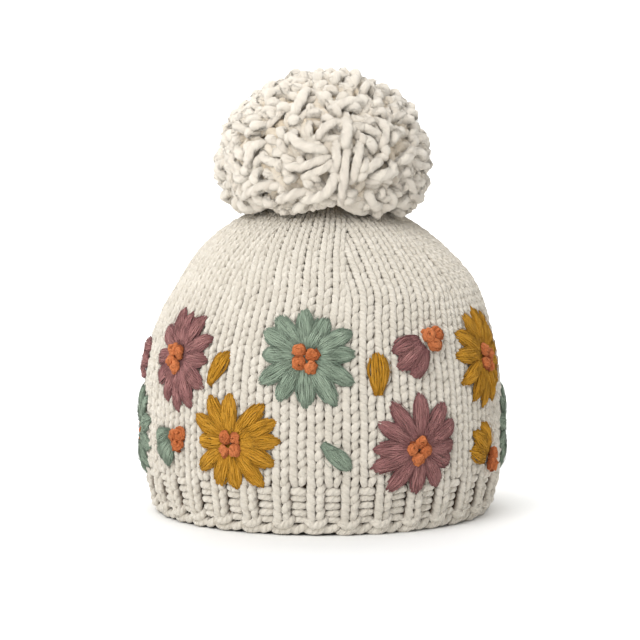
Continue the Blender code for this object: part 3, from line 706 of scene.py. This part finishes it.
# Strands that follow the pompom's rounded form, each at a depth of its own, with a hump in
# the middle and ends that dive
def makePompomTree():
    tree, given = startTree("pompom strands", {
        "Centre": "Vector", "Radius": "Float", "Up": "Float", "Down": "Float", "Yarn Radius": "Float",
        "Wobble": "Float", "Wobble Length": "Float", "Steps": "Int", "Sides": "Int", "Seed": "Int",
        "Yarn": "Material",
    })
    strands = linesOnPoints(tree, given["Geometry"], given["Steps"], given["Seed"])
    depth, rise, bury, tint = (addNode(tree, "GeometryNodeInputNamedAttribute", {"Name": label},
        data_type="FLOAT") for label in ("depth", "rise", "bury", "tint"))
    share = addNode(tree, "GeometryNodeSplineParameter", out="Factor")
    drift = addNode(tree, "ShaderNodeMath", {0: tint, 1: 9.0}, operation="MULTIPLY")
    path = strayed(tree, throughThree(tree, share), drift, given["Wobble Length"], given["Wobble"])
    path = addNode(tree, "ShaderNodeVectorMath", {0: path, 1: given["Centre"]}, operation="SUBTRACT")
    radii = pompomRadii(tree, path, given)
    ball = addNode(tree, "ShaderNodeVectorMath", {0: path, 1: radii}, operation="DIVIDE")
    ball = addNode(tree, "ShaderNodeVectorMath", {0: ball}, operation="NORMALIZE")
    hump = addNode(tree, "ShaderNodeMath", {0: share, 1: math.pi}, operation="MULTIPLY")
    hump = addNode(tree, "ShaderNodeMath", {0: hump}, operation="SINE")
    hump = addNode(tree, "ShaderNodeMath", {0: hump, 1: rise, 2: depth}, operation="MULTIPLY_ADD")
    end = nearEnds(tree, share, 4.0)
    dive = addNode(tree, "ShaderNodeMath", {0: end, 1: bury}, operation="MULTIPLY")
    reach = addNode(tree, "ShaderNodeMath", {0: hump, 1: dive}, operation="SUBTRACT")
    ball = addNode(tree, "ShaderNodeVectorMath", {0: ball, 3: reach}, operation="SCALE")
    ball = addNode(tree, "ShaderNodeVectorMath", {0: ball, 1: radii}, operation="MULTIPLY")
    ball = addNode(tree, "ShaderNodeVectorMath", {0: ball, 1: given["Centre"]}, operation="ADD")
    strands = addNode(tree, "GeometryNodeSetPosition", {
        "Geometry": strands, "Position": aboveCrown(tree, ball)})
    # painted shade: strands that lie deeper in the ball take more of the wool's shade colour
    sink = addNode(tree, "ShaderNodeMapRange", {"Value": reach, "From Min": 0.95, "From Max": 0.86})
    strands = addNode(tree, "GeometryNodeStoreNamedAttribute", {"Geometry": strands, "Name": "sunk",
        "Value": sink}, data_type="FLOAT", domain="POINT")
    blunt = addNode(tree, "ShaderNodeMath", {0: end, 1: end}, operation="MULTIPLY")
    blunt = addNode(tree, "ShaderNodeMath", {0: blunt, 1: -0.45, 2: 1.0}, operation="MULTIPLY_ADD")
    thick = addNode(tree, "ShaderNodeMapRange", {"Value": tint, "To Min": 0.84, "To Max": 1.14})
    blunt = addNode(tree, "ShaderNodeMath", {0: blunt, 1: thick}, operation="MULTIPLY")
    blunt = addNode(tree, "ShaderNodeMath", {0: blunt, 1: given["Yarn Radius"]}, operation="MULTIPLY")
    finishStrands(tree, strands, blunt, given["Sides"], given["Yarn"], lumps=2.0 * mm, lumpLength=2.4 * mm)
    return tree


# The heart of the pompom: a ball with lumps as wide as a strand, all in the wool's painted shade colour, as
# it shows only in the shade between the strands
def makeHeartTree():
    tree, given = startTree("pompom heart", {
        "Centre": "Vector", "Radius": "Float", "Up": "Float", "Down": "Float",
        "Share": "Float", "Lumps": "Float", "Yarn": "Material",
    })
    ball = addNode(tree, "GeometryNodeMeshIcoSphere", {"Radius": 1.0, "Subdivisions": 5})
    place = addNode(tree, "GeometryNodeInputPosition")
    lumps = addNode(tree, "ShaderNodeTexNoise", {"Vector": place, "Scale": 9.0, "Detail": 1.0})
    reach = addNode(tree, "ShaderNodeMath", {0: lumps, 1: -0.5}, operation="ADD")
    reach = addNode(tree, "ShaderNodeMath", {0: reach, 1: given["Lumps"], 2: given["Share"]},
        operation="MULTIPLY_ADD")
    moved = addNode(tree, "ShaderNodeVectorMath", {0: place, 1: pompomRadii(tree, place, given)},
        operation="MULTIPLY")
    moved = addNode(tree, "ShaderNodeVectorMath", {0: moved, 3: reach}, operation="SCALE")
    moved = addNode(tree, "ShaderNodeVectorMath", {0: moved, 1: given["Centre"]}, operation="ADD")
    ball = addNode(tree, "GeometryNodeSetPosition", {"Geometry": ball, "Position": aboveCrown(tree, moved)})
    # painted shade: the whole heart takes the wool's shade colour
    ball = addNode(tree, "GeometryNodeStoreNamedAttribute", {"Geometry": ball, "Name": "sunk",
        "Value": 1.0}, data_type="FLOAT", domain="POINT")
    endTree(tree, ball, given["Yarn"])
    return tree


def onPompom(azimuth, angle):
    tall = np.where(np.asarray(angle) > 0, pompom["up"], pompom["down"])
    x = np.cos(angle) * np.sin(azimuth) * pompom["radius"]
    y = -np.cos(angle) * np.cos(azimuth) * pompom["radius"]
    return np.stack((x, y, np.sin(angle) * tall), -1) + np.array(pompom["centre"])


# Strands spread evenly over the pompom. Neighbours lie more or less side by side in locks.
def pompomPoints(name, count, seed, length, depth, rise, bury, stray):
    dice = np.random.default_rng(seed)
    low = math.sin(math.radians(pompom["lowest"]))
    order = np.arange(count) + 0.5
    angle = np.arcsin(low + (1 - low) * order / count)
    azimuth = order * math.pi * (3 - math.sqrt(5)) + dice.normal(0, 0.06, count)
    place = onPompom(azimuth, angle)
    out = place - np.array(pompom["centre"])
    waves = (((95, 40, 60), 1.0), ((-50, 80, 75), 4.0), ((60, -75, 90), 2.0))
    lie = np.stack([np.sin(out @ np.array(wave) + turn) for wave, turn in waves], -1)
    across = np.cross(
        out / np.linalg.norm(out, axis=-1, keepdims=True), lie + dice.normal(0, stray, (count, 3)))
    across /= np.linalg.norm(across, axis=-1, keepdims=True)
    half = across * dice.uniform(*length, count)[:, None] / 2
    return pointCloud(name, place, {
        "root": place - half, "middle": place, "tip": place + half, "depth": dice.uniform(*depth, count),
        "rise": dice.uniform(*rise, count), "bury": dice.uniform(*bury, count)})


def makePompom():
    tree = makePompomTree()
    form = {label: pompom[label] for label in ("centre", "radius", "up", "down")}
    form["yarn"] = pompomWool
    heart = pointCloud("pompomHeart", [pompom["centre"]], {})
    grow(heart, makeHeartTree(), share=0.86, lumps=0.16, **form)
    lying = pompomPoints("lyingStrands", **pompom["lying"])
    grow(lying, tree, yarnRadius=pompom["yarnRadius"], wobble=13 * mm, wobbleLength=13 * mm,
         steps=12, sides=7, seed=2, **form)
    loops = pompomPoints("standingLoops", **pompom["loops"])
    grow(loops, tree, yarnRadius=pompom["yarnRadius"], wobble=6 * mm, wobbleLength=9 * mm,
         steps=8, sides=7, seed=6, **form)
    ends = np.radians(np.array(pompom["looseStrands"], float))
    place = onPompom(ends[..., 0], ends[..., 1])
    count = len(place)
    loose = pointCloud("looseStrands", place[:, 1], {
        "root": place[:, 0], "middle": place[:, 1], "tip": place[:, 2], "depth": np.full(count, 1.015),
        "rise": np.full(count, 0.03), "bury": np.full(count, 0.07)})
    grow(loose, tree, yarnRadius=pompom["yarnRadius"] * 1.06, wobble=2 * mm, wobbleLength=9 * mm,
         steps=20, sides=10, seed=4, **form)
    fuzz = pompomPoints("pompomFuzz", **pompom["fuzz"])
    grow(fuzz, tree, yarnRadius=0.09 * mm, wobble=12 * mm, wobbleLength=5 * mm, steps=8, sides=3, seed=7,
        **form)
    return joined("pompomStrands", [lying, heart, loops, loose, fuzz])


# The band of flowers, buds and leaves. Its half is worked twice round the hat. Azimuth is in
# degrees, height a share of the body's height, directions are in degrees from sideways
# towards up, and lengths and places on the hat are in mm.
flowers = (
    {"colour": "mauve", "azimuth": -52.5, "height": 0.529,
     "knots": ((-4.4, 2.4), (0.1, 1.5), (-4.8, -2.6), (-1.4, -4.9)), "petals": (
        (-173, 21.0), (-144, 22.0), (-112, 22.3), (-86, 24.2), (-65, 23.8), (-37, 21.2),
        (-2, 17.3), (28, 20.3), (65, 20.9), (93, 19.8), (115, 23.2), (148, 22.0))},
    {"colour": "sage", "azimuth": -5.5, "height": 0.555,
     "knots": ((-2.9, 2.4), (2.9, 0.3), (-2.7, -3.7), (2.6, -5.2)), "petals": (
        (-149, 23.6), (-121, 22.6), (-88, 22.4), (-58, 25.2), (-30, 24.3), (2, 21.5),
        (28, 22.3), (62, 18.9), (92, 20.9), (127, 21.4), (150, 21.2), (179, 19.1))},
    {"colour": "mustard", "azimuth": 65.5, "height": 0.521,
     "knots": ((-1.6, 2.1), (2.8, 0.1), (-2.8, -3.5), (1.4, -5.2)), "petals": (
        (-154, 24.4), (-128, 24.0), (-105, 23.5), (-77, 22.0), (-48, 20.0), (-20, 19.8),
        (10, 19.4), (36, 20.3), (62, 21.5), (92, 22.5), (120, 22.4), (150, 23.8), (176, 24.2))},
    {"colour": "sage", "azimuth": -86.5, "height": 0.262, "knotLift": -1.0,
     "knots": ((4.6, -0.4), (1.8, 2.4), (-1.0, -1.0), (2.2, -4.0)), "petals": (
        (-163, 20.0), (-132, 20.0), (-102, 20.5), (-72, 21.0), (-42, 22.5), (-13, 24.0),
        (16, 24.0), (45, 22.5), (72, 21.0), (100, 20.5), (134, 20.0), (166, 20.0))},
    {"colour": "mustard", "azimuth": -29.0, "height": 0.287,
     "knots": ((-2.4, 1.9), (2.7, 1.6), (-2.6, -3.9), (2.5, -3.6)), "petals": (
        (-178, 17.5), (-142, 21.7), (-109, 21.4), (-84, 20.9), (-52, 24.0), (-24, 22.1),
        (3, 22.9), (25, 23.2), (48, 22.5), (95, 20.7), (123, 22.5), (153, 22.0))},
    {"colour": "mauve", "azimuth": 31.5, "height": 0.266,
     "knots": ((-5.2, 0.0), (-0.7, 2.6), (1.6, -1.2), (-2.4, -4.5)), "petals": (
        (-161, 24.9), (-131, 23.8), (-97, 20.7), (-60, 20.4), (-26, 18.4), (-1, 18.6),
        (27, 21.6), (54, 23.1), (90, 23.6), (125, 25.1), (150, 23.5), (179, 22.6))},
)
buds = (
    {"colour": "mauve", "azimuth": 30.7, "height": 0.553, "turn": -145, "length": 17.4,
     "knots": (10.9, 6.2), "knotSize": 1.3},
    {"colour": "sage", "azimuth": -57.5, "height": 0.250, "turn": -140, "length": 15.0,
     "knots": (11.0, 4.4), "knotSize": 1.3},
    {"colour": "mustard", "azimuth": 60.3, "height": 0.242, "turn": 140, "length": 17.0,
     "knots": (9.0, -7.6), "knotSize": 1.2},
)
edgeBud = {"colour": "mauve", "azimuth": -87.0, "height": 0.495, "turn": -15, "length": 17.0,
    "knots": (-12.0, 3.2), "knotSize": 0.95, "knotLift": -0.6}
leaves = (
    {"colour": "mustard", "azimuth": -35.1, "height": 0.506, "turn": 60, "length": 17.0, "width": 7.0},
    {"colour": "mustard", "azimuth": 17.6, "height": 0.497, "turn": 88, "length": 18.4, "width": 9.2},
    {"colour": "sage", "azimuth": 4.2, "height": 0.251, "turn": -42, "length": 16.3, "width": 7.0},
)
stitching = {
    "secondHalf": 178,  # degrees from the first half to its repeat
    "petalFoot": 1.3,  # mm from a flower's middle to where its petals start
    "petalWidth": {"sage": 7.6, "mustard": 7.1, "mauve": 7.4},
    "strands": {"sage": 10, "mustard": 8, "mauve": 9},
    "strandRadius": {"sage": 0.53 * mm, "mustard": 0.62 * mm, "mauve": 0.55 * mm},
    "lift": -0.1,  # mm from the hat's outline to the underside of the padding
    "padding": 1.5,
    "knotLift": 1.1,
    "knotSize": 1.06,
    "budKnotLift": 0.9,
    "budKnotRing": 2.7,
    "petalFootWidth": 0.46,  # how wide a stitch starts, as a share of its widest
    # the fan of a bud: its petals are (aside, along) in shares of the bud's length
    "bud": {"foot": -0.40, "petals": ((-0.42, 0.42), (0.42, 0.44), (0.0, 0.60)), "rootSpread": 0.35,
            "width": 7.6, "padding": 1.9, "footWidth": 0.5},
    "leaf": {"widthShare": 1.05, "padding": 1.7, "footWidth": 0.34},
    "fuzzStrands": 19,
    "fuzzRadius": 0.08 * mm,
}


# Satin stitches: on each point a bundle of strands side by side, from a root over a middle to
# a tip, wider and padded on the way, with the outer strands shorter than the middle ones
def makeSatinTree():
    tree, given = startTree("satin stitches", {
        "Strands": "Int", "Strand Radius": "Float", "Spread": "Float", "Wander": "Float",
        "Wander Length": "Float", "Steps": "Int", "Sides": "Int", "Seed": "Int", "Yarn": "Material",
    })
    spots = addNode(tree, "GeometryNodeDuplicateElements", {"Geometry": given["Geometry"],
        "Amount": given["Strands"]}, out=None, domain="POINT")
    last = addNode(tree, "ShaderNodeMath", {0: given["Strands"], 1: 1.0}, operation="SUBTRACT")
    side = addNode(tree, "ShaderNodeMath", {0: spots.outputs[1], 1: last}, operation="DIVIDE")
    side = addNode(tree, "ShaderNodeMath", {0: side, 1: 2.0, 2: -1.0}, operation="MULTIPLY_ADD")
    shown = addNode(tree, "GeometryNodeStoreNamedAttribute", {"Geometry": spots.outputs[0], "Name": "side",
        "Value": side}, data_type="FLOAT", domain="POINT")
    strands = linesOnPoints(tree, shown, given["Steps"], given["Seed"])
    vectors = {}
    for label in ("acrossDir", "outDir", "size"):
        vectors[label] = addNode(tree, "GeometryNodeInputNamedAttribute", {"Name": label},
            data_type="FLOAT_VECTOR")
    side, tint = (addNode(tree, "GeometryNodeInputNamedAttribute", {"Name": label}, data_type="FLOAT")
        for label in ("side", "tint"))
    share = addNode(tree, "GeometryNodeSplineParameter", out="Factor")
    # outer strands stop short of the tip, the middle ones run past it into the knit
    outward = addNode(tree, "ShaderNodeMath", {0: side, 1: side}, operation="MULTIPLY")
    short = addNode(tree, "ShaderNodeMath", {0: outward, 1: 1.5}, operation="POWER")
    length = addNode(tree, "ShaderNodeMath", {0: short, 1: -0.13, 2: 1.02}, operation="MULTIPLY_ADD")
    share = addNode(tree, "ShaderNodeMath", {0: share, 1: length}, operation="MULTIPLY")
    path = throughThree(tree, share)
    # half width along the petal: narrow at the foot, widest past the middle, rounded at the tip
    size = addNode(tree, "ShaderNodeSeparateXYZ", {"Vector": vectors["size"]}, out=None)
    wave = addNode(tree, "ShaderNodeMath", {0: share, 1: 1.25}, operation="POWER")
    wave = addNode(tree, "ShaderNodeMath", {0: wave, 1: math.pi}, operation="MULTIPLY")
    wave = addNode(tree, "ShaderNodeMath", {0: wave}, operation="SINE")
    ends = addNode(tree, "ShaderNodeMapRange", {"Value": share, "To Min": size.outputs[2], "To Max": 0.52})
    wide = addNode(tree, "ShaderNodeMath", {0: wave, 1: 0.50, 2: ends}, operation="MULTIPLY_ADD")
    wide = addNode(tree, "ShaderNodeMath", {0: wide, 1: size.outputs[0]}, operation="MULTIPLY")
    wide = addNode(tree, "ShaderNodeMath", {0: wide, 1: side}, operation="MULTIPLY")
    wide = addNode(tree, "ShaderNodeMath", {0: wide, 1: given["Spread"]}, operation="MULTIPLY")
    aside = addNode(tree, "ShaderNodeVectorMath", {0: vectors["acrossDir"], 3: wide}, operation="SCALE")
    path = addNode(tree, "ShaderNodeVectorMath", {0: path, 1: aside}, operation="ADD")
    # padding: high in the middle, with both ends in the knit
    ends = nearEnds(tree, share, 3.2)
    hump = addNode(tree, "ShaderNodeMath", {0: ends, 1: -1.25, 2: 1.0}, operation="MULTIPLY_ADD")
    dome = addNode(tree, "ShaderNodeMath", {0: outward, 1: -0.88, 2: 1.0}, operation="MULTIPLY_ADD")
    dome = addNode(tree, "ShaderNodeMath", {0: dome, 1: 0.5}, operation="POWER")
    hump = addNode(tree, "ShaderNodeMath", {0: hump, 1: dome}, operation="MULTIPLY")
    hump = addNode(tree, "ShaderNodeMath", {0: hump, 1: size.outputs[1]}, operation="MULTIPLY")
    hump = addNode(tree, "ShaderNodeMath", {0: hump, 1: given["Spread"]}, operation="MULTIPLY")
    rising = addNode(tree, "ShaderNodeMapRange", {"Value": share, "From Max": 0.42,
        "To Min": size.outputs[2], "To Max": 1.0})
    hump = addNode(tree, "ShaderNodeMath", {0: hump, 1: rising}, operation="MULTIPLY")
    raised = addNode(tree, "ShaderNodeVectorMath", {0: vectors["outDir"], 3: hump}, operation="SCALE")
    path = addNode(tree, "ShaderNodeVectorMath", {0: path, 1: raised}, operation="ADD")
    # every strand strays a little in its own way
    drift = addNode(tree, "ShaderNodeMath", {0: tint, 1: 23.0}, operation="MULTIPLY")
    path = strayed(tree, path, drift, given["Wander Length"], given["Wander"])
    strands = addNode(tree, "GeometryNodeSetPosition", {"Geometry": strands, "Position": path})
    # painted shade: darker at the foot by the flower's middle, on the outer strands and at the tip
    foot = addNode(tree, "ShaderNodeMapRange", {"Value": share, "From Min": 0.36, "From Max": 0.02,
        "To Max": size.outputs[2]})
    edge = addNode(tree, "ShaderNodeMath", {0: outward, 1: 3.0}, operation="POWER")
    sink = addNode(tree, "ShaderNodeMath", {0: edge, 1: 0.45, 2: foot}, operation="MULTIPLY_ADD")
    end = addNode(tree, "ShaderNodeMapRange", {"Value": share, "From Min": 0.90, "From Max": 1.02,
        "To Max": 0.5})
    sink = addNode(tree, "ShaderNodeMath", {0: sink, 1: end}, operation="ADD")
    strands = addNode(tree, "GeometryNodeStoreNamedAttribute", {"Geometry": strands, "Name": "sunk",
        "Value": sink}, data_type="FLOAT", domain="POINT")
    thin = addNode(tree, "ShaderNodeMath", {0: ends, 1: -0.45, 2: 1.0}, operation="MULTIPLY_ADD")
    thin = addNode(tree, "ShaderNodeMath", {0: thin, 1: given["Strand Radius"]}, operation="MULTIPLY")
    finishStrands(tree, strands, thin, given["Sides"], given["Yarn"])
    return tree


# French knots: on each point a coil of yarn that winds inwards and upwards
def makeKnotTree():
    tree, given = startTree("french knots", {
        "Turns": "Float", "Wide": "Float", "Narrow": "Float", "High": "Float", "Yarn Radius": "Float",
        "Rough": "Float", "Steps": "Int", "Sides": "Int", "Seed": "Int", "Yarn": "Material",
    })
    coil = addNode(tree, "GeometryNodeCurveSpiral", {"Resolution": 12, "Rotations": given["Turns"],
        "Start Radius": given["Wide"], "End Radius": given["Narrow"], "Height": given["High"]})
    coil = addNode(tree, "GeometryNodeResampleCurve", {"Curve": coil, "Count": given["Steps"]})
    placed = standOnPoints(tree, given["Geometry"], coil)
    swing = eitherWay(tree, (0.35, 0.35, 3.1), 1.0, given["Seed"])
    placed = addNode(tree, "GeometryNodeRotateInstances", {"Instances": placed, "Rotation": swing})
    coils = realWithTint(tree, placed, given["Seed"])
    coils = lumpy(tree, coils, given["Rough"], 1 / 420)
    # painted shade at the foot of the coil
    share = addNode(tree, "GeometryNodeSplineParameter", out="Factor")
    sink = addNode(tree, "ShaderNodeMapRange", {"Value": share, "From Min": 0.45, "From Max": 0.0,
        "To Max": 0.75})
    coils = addNode(tree, "GeometryNodeStoreNamedAttribute", {"Geometry": coils, "Name": "sunk",
        "Value": sink}, data_type="FLOAT", domain="POINT")
    finishStrands(tree, coils, given["Yarn Radius"], given["Sides"], given["Yarn"], lumps=2.0 * mm,
        lumpLength=1.7 * mm)
    return tree


# A place on the hat that lies so many mm across and up from a motif's middle
def beside(motif, shift, across, up, lift):
    azimuth = math.radians(motif["azimuth"] + shift)
    arc = arcAt(motif["height"] * hat["height"]) + up * mm
    radius = np.interp(arc, profileArcs, profileRadii)
    radius *= math.hypot(math.cos(azimuth), depthRatio * math.sin(azimuth))
    lean = leanAt(np.interp(arc, profileArcs, profileHeights)) * math.cos(azimuth)
    return onHat(azimuth + (across * mm - lean) / radius, arc, lift * mm)


# Every stitch is (motif, shift, root, tip, width, padding, how wide the foot is)
def satinPoints(name, stitches):
    columns = {"root": [], "middle": [], "tip": [], "acrossDir": [], "outDir": [], "size": []}
    for motif, shift, root, tip, width, padding, foot in stitches:
        centre = ((root[0] + tip[0]) / 2, (root[1] + tip[1]) / 2)
        start, _ = beside(motif, shift, *root, stitching["lift"])
        middle, out = beside(motif, shift, *centre, stitching["lift"])
        end, _ = beside(motif, shift, *tip, stitching["lift"])
        across = np.cross(end - start, out)
        for label, value in (
                ("root", start), ("middle", middle), ("tip", end), ("outDir", out),
                ("acrossDir", across / np.linalg.norm(across)),
                ("size", (width / 2 * mm, padding * mm, foot))):
            columns[label].append(value)
    return pointCloud(name, columns["middle"], {k: np.array(v) for k, v in columns.items()})


def towards(direction, reach):
    return reach * math.cos(math.radians(direction)), reach * math.sin(math.radians(direction))


# The stitches of the whole band by colour, and the places of its knots
def bandStitches():
    dice = np.random.default_rng(11)
    satin = {"mauve": [], "sage": [], "mustard": []}
    knots = []
    parts = {"mauve": [], "sage": [], "mustard": [], "orange": []}
    budCount = 0
    for half, shift in enumerate((0, stitching["secondHalf"])):
        for i, flower in enumerate(flowers):
            name = f"flower_{half * len(flowers) + i + 1:02d}"
            parts[flower["colour"]].append(name + "_petals")
            parts["orange"].append(name + "_knots")
            for direction, reach in flower["petals"]:
                width = stitching["petalWidth"][flower["colour"]] * dice.uniform(0.92, 1.08)
                padding = stitching["padding"] + dice.uniform(-0.2, 0.25)
                root, tip = towards(direction, stitching["petalFoot"]), towards(direction, reach)
                stitch = (flower, shift, root, tip, width, padding, stitching["petalFootWidth"])
                satin[flower["colour"]].append(stitch)
            lift = flower.get("knotLift", stitching["knotLift"])
            knots += [(flower, shift, place, lift, stitching["knotSize"]) for place in flower["knots"]]
        for bud in buds if half else buds + (edgeBud,):
            budCount += 1
            name = f"bud_{budCount:02d}"
            parts[bud["colour"]].append(name + "_petals")
            parts["orange"].append(name + "_knots")
            fan = stitching["bud"]
            foot = towards(bud["turn"], fan["foot"] * bud["length"])
            for aside, along in fan["petals"]:
                tipX, tipY = towards(bud["turn"], along * bud["length"])
                sideX, sideY = towards(bud["turn"] + 90, aside * bud["length"])
                rootX, rootY = towards(bud["turn"] + 90, fan["rootSpread"] * aside * bud["length"])
                root, tip = (foot[0] + rootX, foot[1] + rootY), (tipX + sideX, tipY + sideY)
                stitch = (bud, shift, root, tip, fan["width"], fan["padding"], fan["footWidth"])
                satin[bud["colour"]].append(stitch)
            lift = bud.get("knotLift", stitching["budKnotLift"])
            for k in range(3):
                offX, offY = towards(bud["turn"] + 120 * k + 60, stitching["budKnotRing"])
                knots.append((bud, shift, (bud["knots"][0] + offX, bud["knots"][1] + offY), lift,
                    bud["knotSize"]))
        for i, leaf in enumerate(leaves):
            parts[leaf["colour"]].append(f"leaf_{half * len(leaves) + i + 1:02d}")
            root, tip = (towards(leaf["turn"], end * leaf["length"]) for end in (-0.5, 0.5))
            single = stitching["leaf"]
            width = leaf["width"] * single["widthShare"]
            stitch = (leaf, shift, root, tip, width, single["padding"], single["footWidth"])
            satin[leaf["colour"]].append(stitch)
    return satin, knots, parts


def embroider():
    satinTree, knotTree = makeSatinTree(), makeKnotTree()
    satin, knots, parts = bandStitches()
    wool = {"sage": sageWool, "mustard": mustardWool, "mauve": mauveWool}
    for colour, stitches in satin.items():
        strands = satinPoints(colour + "Strands", stitches)
        grow(strands, satinTree, strands=stitching["strands"][colour], spread=1.0,
             strandRadius=stitching["strandRadius"][colour], wander=1.1 * mm, wanderLength=3.5 * mm,
             steps=9, sides=5, seed=4, yarn=wool[colour])
        fuzz = satinPoints(colour + "Fuzz", stitches)
        grow(fuzz, satinTree, strands=stitching["fuzzStrands"], strandRadius=stitching["fuzzRadius"],
             spread=1.2, wander=5.4 * mm, wanderLength=5 * mm, steps=7, sides=3, seed=9,
             yarn=wool[colour])
        settle(joined(colour + "Embroidery", [strands, fuzz]), colour + "_yarn", *parts[colour])
    places, outs, acrosses = [], [], []
    for motif, shift, spot, lift, _ in knots:
        place, out = beside(motif, shift, *spot, lift)
        across = np.cross((0.0, 0.0, 1.0), out)
        places.append(place)
        outs.append(out)
        acrosses.append(across / np.linalg.norm(across))
    sizes = np.array([[size] * 3 for *_, size in knots])
    coils = pointCloud("frenchKnots", places, {
        "outDir": np.array(outs), "acrossDir": np.array(acrosses), "size": sizes})
    grow(coils, knotTree, turns=2.6, wide=2.5 * mm, narrow=0.5 * mm, high=1.6 * mm, yarnRadius=0.95 * mm,
         rough=2.4 * mm, steps=40, sides=6, seed=3, yarn=orangeWool)
    settle(coils, "orange_yarn", *parts["orange"])


print("knitting the body")
stitchPieces = knitStitches()
castOn = ribAndCastOn()
back = clothBack()
settle(back, "cream_yarn", "knit_body")
settle(castOn, "cream_yarn", "knit_body")
for piece in stitchPieces:
    settle(piece, "cream_yarn", "knit_body")


print("winding the pompom")
settle(makePompom(), "cream_yarn", "pompom")


print("embroidering the band")
embroider()


# Camera at the photograph's angle, and a plain pale floor under soft light
view = {"distance": 1.5, "elevation": 6.0, "aim": (-0.0011, 0.0, 0.0861), "frame": 0.2916}
sweep = {"front": 3.0, "back": 1.3, "bend": 0.5, "tall": 2.5, "wide": 6.0}
worldLight = 0.43
lights = {
    "keySoftbox": {"place": (-0.75, -1.25, 1.0), "aim": (0, 0, 0.09), "size": (0.9, 0.9), "watts": 11.8},
    "topSoftbox": {"place": (-0.25, -0.6, 1.5), "aim": (0, 0, 0.09), "size": (1.2, 1.2), "watts": 11.0},
    # washes the paper behind the hat
    "paperWash": {"place": (0, 0.7, 1.1), "aim": (0, 1.4, 0.1), "size": (2.4, 0.9), "watts": 30.0},
}


# Stands the camera or a light at its place and turns it to what it is aimed at
def aimed(name, data, place, aim):
    thing = linked(name, data)
    thing.location = place
    thing.rotation_euler = (Vector(aim) - thing.location).to_track_quat("-Z", "Y").to_euler()
    return thing


def stageAndLight():
    angle = math.radians(view["elevation"])
    place = Vector(view["aim"]) + view["distance"] * Vector((0, -math.cos(angle), math.sin(angle)))
    camera = aimed("camera", bpy.data.cameras.new("camera"), place, view["aim"])
    camera.data.lens = 36 * view["distance"] / view["frame"]
    camera.data.sensor_width = 36
    bpy.context.scene.camera = camera
    bpy.context.scene.view_settings.view_transform = "Standard"

    # a sweep of paper: flat under the hat, then round and up behind it
    bend = [(sweep["back"] + sweep["bend"] * math.sin(turn), sweep["bend"] * (1 - math.cos(turn)))
        for turn in np.radians(range(0, 91, 6))]
    line = [(-sweep["front"], 0.0)] + bend + [(sweep["back"] + sweep["bend"], sweep["tall"])]
    verts = [(side * sweep["wide"] / 2, y, z) for y, z in line for side in (-1, 1)]
    floorMesh = bpy.data.meshes.new("paperSweep")
    faces = [(2 * i, 2 * i + 1, 2 * i + 3, 2 * i + 2) for i in range(len(line) - 1)]
    floorMesh.from_pydata(verts, [], faces)
    floorMesh.shade_smooth()
    floor = linked("paperSweep", floorMesh)
    paper = bpy.data.materials.new("seamlessPaper")
    paper.use_nodes = True
    paper.node_tree.nodes["Principled BSDF"].inputs["Base Color"].default_value = linearColour("F4F4F3")
    paper.node_tree.nodes["Principled BSDF"].inputs["Roughness"].default_value = 0.9
    floorMesh.materials.append(paper)

    world = bpy.data.worlds.new("studio")
    world.use_nodes = True
    world.node_tree.nodes["Background"].inputs["Color"].default_value = linearColour("FFFFFF")
    world.node_tree.nodes["Background"].inputs["Strength"].default_value = worldLight
    bpy.context.scene.world = world
    for name, light in lights.items():
        lamp = bpy.data.lights.new(name, "AREA")
        lamp.shape = "RECTANGLE"
        lamp.size, lamp.size_y = light["size"]
        lamp.energy = light["watts"]
        aimed(name, lamp, light["place"], light["aim"])


print("setting the stage")
stageAndLight()
